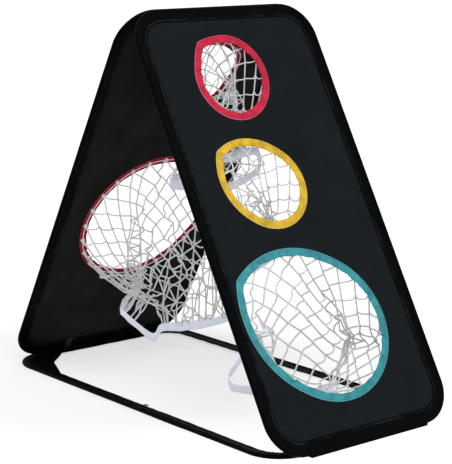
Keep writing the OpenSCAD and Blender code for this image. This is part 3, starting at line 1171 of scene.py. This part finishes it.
    def settle(self, frames: int = 150, rounds: int = 12) -> np.ndarray:
        """Let the net hang under its own weight, its spare length crumpling over the hem.

        Args:
            frames: Time steps of the fall.
            rounds: Times that the bars' lengths are put right in each step.

        Returns:
            Every point of the net at rest.
        """
        points, bars, held = self.layout()
        pairs, rest, firm, push_only = self.ties(bars)
        count, rng = len(points), np.random.default_rng(self.seed)
        top, foot = points[: self.columns, 2].max(), points[held][:, 2].min()
        fall = np.maximum(top - points[:, 2], 0) / (top - foot)
        lowest = points[:, 2] - self.sag * np.sin(np.pi * np.clip(fall, 0, 1))
        first, second = pairs[:, 0], pairs[:, 1]
        both = np.concatenate([first, second])
        shares = np.maximum(np.bincount(both, np.concatenate([firm, firm]), count), 1e-6)[:, None]
        fixed = points[held].copy()
        points = points + rng.normal(0, 3 * MM, points.shape) * ~held[:, None]
        before = points.copy()
        planes = [(np.array(p.outward), np.array(p.at(0, 0, -4 * MM))) for p in (FRONT, BACK)]
        for _ in range(frames):
            move = (points - before) * AIR
            before = points.copy()
            points = points + move
            points[:, 2] -= FALL
            for _ in range(rounds):
                gap = points[second] - points[first]
                length = np.maximum(np.linalg.norm(gap, axis=1), 1e-9)
                excess = np.where(push_only, np.minimum(length - rest, 0), length - rest)
                push = gap * (0.5 * firm * excess / length)[:, None]
                pushes = np.concatenate([push, -push])
                delta = np.stack([np.bincount(both, pushes[:, k], count) for k in range(3)], 1)
                points += 1.4 * delta / shares
                points[held] = fixed
            for normal, origin in planes:
                points -= np.maximum((points - origin) @ normal, 0)[:, None] * normal
            points[:, 2] = np.maximum(points[:, 2], np.maximum(lowest, 4 * MM))
            points[held] = fixed
        return points

    def strand(self, spots: list[Vector], start: int, way: int) -> list[Vector]:
        """Give the path of a strand, from the head cord down to the tape.

        Args:
            spots: Every point of the net at rest.
            start: The column that the strand starts from.
            way: Whether it runs down to the left, 0, or to the right, 1.

        Returns:
            Its points.
        """
        column, path = start, [spots[start]]
        for row in range(self.rows):
            following = self.below(row, column, way)
            if not self.stands(row + 1, following):
                break
            path += [spots[k] for k in self.bar_points(row, column, way)]
            column = following
            path.append(spots[self.knot(row + 1, column)])
        foot = path[-1]
        sewn = min(self.hem_path, key=lambda p: (p - foot).length_squared)
        drop = (sewn - foot).length
        turns = round(drop / (0.5 * self.bar))
        for step in range(1, turns):
            spot = noise.noise_vector(Vector((start // 2 * 1.7, step * 0.8 + way, self.seed)))
            path.append(foot.lerp(sewn, step / turns) + spot * self.tangle)
        if drop > 4 * MM:
            path.append(sewn + Vector((0, 0, -4 * MM)))
        return smooth_path(path, 2)

    def build(self) -> None:
        """Make the net, its head cord and its tape."""
        name, rng = self.hole.colour, random.Random(self.seed)
        points = self.settle()
        spots = [Vector(p) for p in points.tolist()]
        paths = [self.strand(spots, *start) for start in product(range(self.columns), (0, 1))]
        for k in range(self.columns):
            paths.append(self.lacing(k, rng))
            if rng.random() < self.loose:
                paths.append(self.tail(k, rng))
        bm = cords(f"{name}_net", paths, self.cord)
        knots = self.knots(points)
        bm.from_mesh(knots)
        bpy.data.meshes.remove(knots)
        self.hang(make_piece(bm, f"{name}_net_mesh", Finish.TWINE), "net_cord", f"{name}_net")
        bm = cords(f"{name}_head_cord", [self.head_path()], self.head_cord, 2, closed=True)
        head = make_piece(bm, f"{name}_head_twine", Finish.TWINE)
        stands_for(head, self.hole.plane.body, "net_cord", f"{name}_head_cord")
        tape = make_piece(self.tape(), f"{name}_net_tape_band", Finish.HEM)
        self.hang(tape, "white_tape", f"{name}_net_tape")

    def hang(self, piece: bpy.types.Object, slot: str, node: str) -> None:
        """Tie a soft piece to the panel and give it a mesh of its own.

        Args:
            piece: The net or its tape.
            slot: Its material slot.
            node: The node that it stands for.
        """
        hole, plane = self.hole, self.hole.plane
        stands_for(piece, plane.body, slot, node)
        anchor = tuple(plane.at(hole.x, hole.v, -3.3 * MM))
        tuple(plane.outward)
        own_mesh(piece)

    def lacing(self, column: int, rng: random.Random) -> list[Vector]:
        """Give the turns that lash a column to the head cord and the trim.

        Args:
            column: The column.
            rng: Source of their unevenness.

        Returns:
            Their path.
        """
        start, steps, steps_a_turn, length = TAU * column / self.columns, 18, 8, 7 * MM
        spots = []
        for step in range(steps + 1):
            turn = TAU * step / steps_a_turn
            angle = start + (step / steps - 0.5) * length / self.hole.radius
            inset = HEAD_INSET + rng.uniform(-0.3, 0.3) * MM + 3.4 * MM * math.cos(turn)
            spots.append(self.hole.point(angle, inset, HEAD_DEPTH + 0.6 * MM + 2.3 * MM * math.sin(turn)))
        return smooth_path(spots, 2)

    def tail(self, column: int, rng: random.Random) -> list[Vector]:
        """Give a cut end that is left outside a lacing.

        Args:
            column: The column that is laced there.
            rng: Source of its bend and length.

        Returns:
            Its path.
        """
        angle = TAU * column / self.columns
        bend = rng.uniform(-0.06, 0.06)
        middle = self.hole.point(angle + bend / 2, 1 * MM, HEAD_DEPTH - 1 * MM)
        tip = self.hole.point(angle + bend, -rng.uniform(3, 10) * MM, HEAD_DEPTH + 1 * MM)
        return smooth_path([self.mouth(angle), middle, tip], 4)

    def knots(self, points: np.ndarray) -> bpy.types.Mesh:
        """Put a small knot where the bars of the net meet, row by row.

        Args:
            points: Every point of the net at rest.

        Returns:
            A mesh of all the knots.
        """
        rng = random.Random(self.seed + 2)
        whole = bpy.data.meshes.new("knots")
        for row in range(1, self.rows + 1):
            bm = bmesh.new()
            for k in range(self.columns):
                if not self.stands(row, k):
                    continue
                size = self.cord * rng.uniform(1.15, 1.45)
                turned = Matrix.Rotation(rng.uniform(0, TAU), 4, Vector((rng.random(), rng.random(), 1)))
                place = Matrix.Translation(Vector(points[self.knot(row, k)].tolist()))
                matrix = place @ turned @ Matrix.Diagonal((size, size, size * 1.3, 1))
                bmesh.ops.create_uvsphere(bm, u_segments=6, v_segments=4, radius=1.0, matrix=matrix)
            bm.from_mesh(whole)
            bm.to_mesh(whole)
            bm.free()
        return whole

    def head_path(self, count: int = 220) -> list[Vector]:
        """Give the closed path of the cord that the net's first row hangs on, in count points."""
        turns = [TAU * k / count for k in range(count)]
        insets = [HEAD_INSET - 0.5 * MM * noise_at(k / 5, self.hole.v * 9, 0) for k in range(count)]
        return [self.hole.point(turn, inset, HEAD_DEPTH) for turn, inset in zip(turns, insets)]

    def tape(self, count: int = 120, levels: int = 5) -> bmesh.types.BMesh:
        """Draw the tape that binds the net's hem, a closed band that hangs below it.

        Args:
            count: Points round the band.
            levels: Strips that it is divided into.

        Returns:
            The mesh.
        """
        path = evenly(self.hem_path + self.hem_path[:1], np.arange(count) / count)
        spacing = sum((path[k] - path[k - 1]).length for k in range(count)) / count
        bm = flat_grid((count, levels), (1, 1), (count / 2, levels / 2, 0))
        height = self.tape_height / levels
        lay_cloth(bm, lambda co, middle: (co.x * spacing, co.y * height))
        for vert in bm.verts:
            level = round(vert.co.y)
            top = path[round(vert.co.x) % count]
            spot = Vector((top.x / 0.02, top.y / 0.02, self.seed + level * 0.25))
            sway = noise.noise_vector(spot) * 3.2 * MM * (level / levels)
            vert.co = top + Vector((sway.x, sway.y, sway.z * 0.6 - level * height))
        bmesh.ops.remove_doubles(bm, verts=bm.verts[:], dist=0.01 * MM)
        bmesh.ops.recalc_face_normals(bm, faces=bm.faces[:])
        bmesh.ops.solidify(bm, geom=bm.faces[:], thickness=0.9 * MM)
        return bm


@dataclass
class Strap:
    """Flat length of webbing, drawn in a plane and sewn down along its edges."""

    name: str
    plane: Plane
    low: tuple[float, float]
    high: tuple[float, float]
    w: float
    wall: float
    node: str
    waves: float = 0.25 * MM
    finish: Finish = Finish.WEBBING
    slot: str = "webbing"

    def build(self) -> None:
        """Make the strap."""
        size = (self.high[0] - self.low[0], self.high[1] - self.low[1])
        middle = ((self.low[0] + self.high[0]) / 2, (self.low[1] + self.high[1]) / 2, self.w)
        bm = flat_grid(size, (6 * MM, 3 * MM), middle)
        lay_cloth(bm, lambda co, middle: (co.x - self.low[0], co.y - self.low[1]))
        for vert in bm.verts:
            vert.co.z += self.waves * noise_at(vert.co.x / 0.02, vert.co.y / 0.02, self.w)
        piece = make_piece(bm, self.name, self.finish, self.plane)
        thicken(piece, self.wall)
        soft = piece.modifiers.new("edge", "BEVEL")
        soft.width = self.wall * 0.3
        soft.segments = 2
        stands_for(piece, self.plane.body, self.slot, self.node)


@dataclass
class Gusset:
    """Web of cloth sewn across the rear left corner of the base."""

    side: float = 155 * MM
    rear: float = 105 * MM
    corner: float = 53 * MM
    band: float = 24 * MM
    sag: float = 0.4
    tuck: float = 5 * MM

    def build(self) -> None:
        """Make the web, ruled from the rails' inner edges to its free edge."""
        left, rear, round_at = self.band - HOOP.width / 2, HOOP.length - self.band, self.corner
        turns = [math.radians(90 + 90 * k / 8) for k in range(9)]
        rails = [Vector((left + self.rear, rear, 0))]
        for turn in turns:
            x, y = left + round_at * (1 + math.cos(turn)), rear - round_at * (1 - math.sin(turn))
            rails.append(Vector((x, y, 0)))
        rails.append(Vector((left, rear - self.side, 0)))
        dip = Vector((left + self.sag * self.rear, rear - self.sag * self.side, 0))
        free = smooth_path([rails[0], rails[0].lerp(dip, 0.6), dip, rails[-1].lerp(dip, 0.6), rails[-1]], 6)
        centre = Vector((0, HOOP.length / 2, 0))
        inner = evenly(rails, np.linspace(0, 1, len(free)))
        outer = [p + (p - centre).normalized() * self.tuck for p in inner]
        bm = bmesh.new()
        borders = []
        for line in (outer, free):
            verts = [bm.verts.new(p) for p in line]
            borders += [bm.edges.new(pair) for pair in zip(verts, verts[1:])]
        bmesh.ops.bridge_loops(bm, edges=borders)
        ruled = [edge for edge in bm.edges if edge not in borders]
        bmesh.ops.subdivide_edges(bm, edges=ruled, cuts=7, use_grid_fill=True)
        lay_cloth(bm, lambda co, middle: (co.x, co.y))
        for vert in bm.verts:
            vert.co.z += 0.9 * MM * noise_at(vert.co.x / 0.03, vert.co.y / 0.03, 2.0)
        bmesh.ops.recalc_face_normals(bm, faces=bm.faces[:])
        piece = make_piece(bm, "base_gusset_web", Finish.BASE_SLEEVE, BASE)
        thicken(piece, 1.1 * MM)
        stands_for(piece, BASE.body, "sleeve_cloth", "base_gusset")


@dataclass
class Tab:
    """Short webbing tab that stands up from the base's rear rail against the back panel."""

    node: str
    x: float
    width: float = 18 * MM
    length: float = 36 * MM
    root: tuple[float, float] = (0.488581, 0.0073)

    def build(self) -> None:
        """Make the tab, a doubled strap with a sewn root."""
        cell = (self.width / 6, self.length / 16)
        bm = flat_grid((self.width, self.length), cell, (0, -self.length / 2, 0))
        lay_cloth(bm, lambda co, middle: (co.x + self.width / 2, -co.y))
        for vert in bm.verts:
            loose = min(1.0, -vert.co.y / (20 * MM))
            vert.co.z += 0.35 * MM * loose * math.sin(vert.co.y / (9 * MM)) * math.cos(vert.co.x / (8 * MM))
        turn = Matrix.Rotation(math.radians(-BACK.slope), 4, "X")
        bm.transform(Matrix.Translation((self.x, *self.root)) @ turn)
        piece = make_piece(bm, f"{self.node}_strap_web", Finish.WEBBING)
        thicken(piece, 1.2 * MM)
        stands_for(piece, f"{self.node}_strap", "webbing", self.node)


# ---------------------------------------------------------------- sub-assemblies


@dataclass
class PanelAssembly:
    """A hoop panel with its sleeve, fabric, trims, nets and ridge tape."""

    side: str
    plane: Plane
    nets: tuple[Net, ...]
    fabric_finish: Finish
    ripple: float
    seed: float
    band: float = 32 * MM
    ridge: tuple[float, float] = (0.95, 0.9796)

    def build(self) -> None:
        """Make every piece of the panel."""
        side, holes = self.side, tuple(net.hole for net in self.nets)
        Sleeve(
            f"{side}_sleeve_cloth", self.plane, self.band, Finish.SLEEVE, f"{side}_sleeve", self.seed
        ).build()
        PanelFabric(
            f"{side}_fabric_sheet", self.plane, holes, self.fabric_finish, f"{side}_fabric", self.ripple,
            self.seed + 1,
        ).build()
        for net in self.nets:
            Trim(net.hole, net.columns, seed=net.seed).build()
            net.build()
        low, high = self.ridge
        Strap(
            f"{side}_ridge_tape_web", self.plane, (-HINGE_HALF, low), (HINGE_HALF, high), -TAPE_LIFT,
            TAPE_WALL, f"{side}_ridge_tape",
        ).build()


@dataclass
class BaseAssembly:
    """The base loop with its sleeve, gusset, hinge tape, tag and tabs."""

    tabs: tuple[tuple[str, float], ...] = (("left_tab", -95 * MM), ("right_tab", 125 * MM))

    def build(self) -> None:
        """Make every piece of the base."""
        Sleeve(
            "base_sleeve_cloth", BASE, 29 * MM, Finish.BASE_SLEEVE, "base_sleeve", seed=8.0,
            floor_cut=-4.55 * MM, bunch=(0.284, 0.422), ruffle=1.6, tabs=tuple(x for _, x in self.tabs),
        ).build()
        Gusset().build()
        low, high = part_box("base_hinge_tape")
        Strap(
            "base_hinge_tape_web", BASE, (low.x, low.y - BASE.foot[0]), (high.x, -0.6 * MM),
            0.55 * MM - BASE.foot[1], TAPE_WALL, "base_hinge_tape", waves=0.0,
        ).build()
        low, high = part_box("base_tag")
        Strap(
            "base_tag_cloth", BASE, (low.x - 3 * MM, low.y - BASE.foot[0]), (high.x, high.y - BASE.foot[0]),
            0.0, 0.7 * MM, "base_tag", waves=1.2 * MM, finish=Finish.TAG, slot="tag_cloth",
        ).build()
        for node, x in self.tabs:
            Tab(node, x).build()


@dataclass(frozen=True)
class Studio:
    """Pale floor, soft lamps and the camera."""

    place: Point = (-2.1871, -2.742, 1.0405)
    turn: Point = (79.064, 0.382, -38.96)
    lens: float = 123.4
    lamps: tuple[tuple[str, Point, float, float], ...] = (
        ("key", (-1.6, -2.2, 3.0), 2.2, 62.0),
        ("fill", (2.6, -1.8, 1.8), 2.0, 22.0),
        ("back", (-1.6, 2.6, 2.4), 2.0, 22.0),
    )

    def build(self) -> None:
        """Set the whole stage."""
        bpy.context.scene.view_settings.view_transform = "Standard"
        self.camera()
        self.floor()
        self.world()
        for name, place, size, power in self.lamps:
            self.lamp(name, place, size, power)

    def add(self, name: str, data: Any) -> bpy.types.Object:
        """Add an object with this data to the scene and give it."""
        made = bpy.data.objects.new(name, data)
        bpy.context.scene.collection.objects.link(made)
        return made

    def camera(self) -> None:
        """Place the camera."""
        data = bpy.data.cameras.new("camera")
        data.sensor_fit = "VERTICAL"
        data.sensor_height = 36.0
        data.lens = self.lens
        data.clip_end = 50
        camera = self.add("camera", data)
        camera.location = self.place
        camera.rotation_euler = tuple(math.radians(part) for part in self.turn)
        bpy.context.scene.camera = camera

    def lamp(self, name: str, place: Point, size: float, power: float) -> None:
        """Add a square soft lamp that looks at the middle of the object.

        Args:
            name: Its name.
            place: Where it stands.
            size: Length of its side.
            power: Its power in watts.
        """
        data = bpy.data.lights.new(name, "AREA")
        data.size = size
        data.energy = power
        lamp = self.add(name, data)
        lamp.location = place
        lamp.rotation_euler = (Vector((0, 0, 0.4)) - lamp.location).to_track_quat("-Z", "Y").to_euler()

    def floor(self) -> None:
        """Lay the floor, which shows pale and keeps the object's shadow."""
        shader = Shader("floor_look")
        middle = {0: shader.place(), 1: (-0.15, 0.3, 0.0)}
        away = shader.node("VectorMath", {"operation": "DISTANCE"}, middle, "Value")
        glow = shader.node("Emission", None, {"Color": (1.0, 1.0, 1.0), "Strength": 1.15})
        matte = shader.node("BsdfDiffuse", None, {"Color": (0.92, 0.92, 0.93)})
        shader.show(shader.rays("Camera", "Glossy") * (0.5 + 0.5 * away.ramp(0.4, 0.85)), matte, glow)
        bm = bmesh.new()
        bmesh.ops.create_grid(bm, x_segments=1, y_segments=1, size=30)
        mesh = bpy.data.meshes.new("floor")
        bm.to_mesh(mesh)
        bm.free()
        mesh.materials.append(shader.owner)
        self.add("floor", mesh)

    def world(self) -> None:
        """Light the object evenly from all round, before a white background."""
        shader = Shader("studio", "worlds")
        white = shader.node("Background", None, {"Color": (1.0, 1.0, 1.0), "Strength": 1.0})
        soft = shader.node("Background", None, {"Color": (1.0, 1.0, 1.0), "Strength": 0.5})
        shader.show(shader.rays("Camera", "Glossy", "Transmission"), soft, white)
        bpy.context.scene.world = shader.owner


def dress_steel() -> None:
    """Give the hidden steel its finishes."""
    for node, finish in (("hoop", Finish.SPRING), ("ferrule", Finish.FERRULE)):
        for side in ("front", "back", "base"):
            piece = frame["nodes"][f"{side}_{node}"]
            for slot in piece.material_slots:
                slot.material = finish.material()
            LOG.info("%s: %s", piece.name, finish.value.name)


FRONT_NETS = (
    Net(
        RED_HOLE, columns=15, rows=17,
        hem=(
            (102, -24, 508), (88, -33, 548), (40, -35, 549), (-40, -34, 538), (-115, -30, 518),
            (-150, -24, 500), (-60, -22, 484), (20, -24, 478),
        ),
        seed=11, bar=27 * MM, cord=1.5 * MM, slack=1.24, tape_height=19 * MM,
    ),
    Net(
        YELLOW_HOLE, columns=13, rows=12,
        hem=(
            (56, -142, 352), (-24, -132, 326), (-100, -148, 330), (-100, -152, 322), (-30, -144, 310),
            (30, -146, 330),
        ),
        seed=12,
        ends=(
            (46, -140, 398), (34, -136, 408), (20, -140, 412), (12, -146, 402), (22, -150, 394),
            (38, -146, 392),
        ),
        bar=32 * MM, cord=1.6 * MM, slack=1.3,
    ),
    Net(
        TEAL_HOLE, columns=20, rows=13,
        hem=(
            (150, -232, 52), (140, -230, 42), (100, -226, 32), (30, -226, 50), (-30, -226, 104),
            (-62, -226, 150), (-74, -224, 178), (-115, -226, 150), (-140, -228, 128), (-156, -230, 112),
            (-150, -232, 92), (-124, -234, 82), (0, -238, 48), (90, -236, 26), (140, -234, 38),
        ),
        seed=13,
        ends=(
            (194, -230, 134), (190, -230, 140), (178, -232, 112), (96, -238, 44), (-30, -236, 110),
            (-66, -226, 174), (-72, -224, 182), (-62, -226, 168), (-20, -226, 96), (60, -226, 40),
            (130, -230, 42), (184, -232, 108),
        ),
        bar=40 * MM,
    ),
)
BACK_NETS = (
    Net(
        BIG_HOLE, columns=24, rows=18,
        hem=(
            (195, 200, 103), (142, 243, 91), (106, 278, 84), (76, 322, 76), (56, 333, 54), (-22, 338, 120),
            (-30, 333, 126), (54, 326, 52), (74, 316, 74), (103, 272, 80), (138, 237, 87),
        ),
        seed=14,
        ends=(
            (192, 202, 104), (150, 238, 98), (104, 286, 104), (76, 316, 130), (40, 333, 172), (26, 335, 192),
            (18, 335, 194), (20, 335, 186), (28, 333, 158), (74, 318, 116), (104, 272, 86), (160, 226, 94),
        ),
        slack=1.16,
    ),
    Net(
        TOP_HOLE, columns=9, rows=7,
        hem=((84, 30, 652), (72, 28, 669), (49, 27, 671), (37, 25, 648), (43, 25, 622), (72, 27, 628)),
        seed=15, bar=35 * MM, cord=1.4 * MM,
    ),
)


def main() -> None:
    """Build the chipping net and its stage."""
    logging.basicConfig(level=logging.INFO, format="%(name)s: %(message)s")
    noise.seed_set(NOISE_SEED)
    Studio().build()
    PanelAssembly("front", FRONT, FRONT_NETS, Finish.PANEL, 0.8 * MM, seed=1.0).build()
    Strap(
        "front_foot_tape_web", FRONT, (-HINGE_HALF, -7.6 * MM), (HINGE_HALF, 8 * MM), TAPE_LIFT, TAPE_WALL,
        "front_foot_tape", waves=0.1 * MM, finish=Finish.SLEEVE,
    ).build()
    PanelAssembly("back", BACK, BACK_NETS, Finish.INNER, 1.8 * MM, seed=5.0).build()
    BaseAssembly().build()
    dress_steel()


if __name__ == "__main__":
    main()
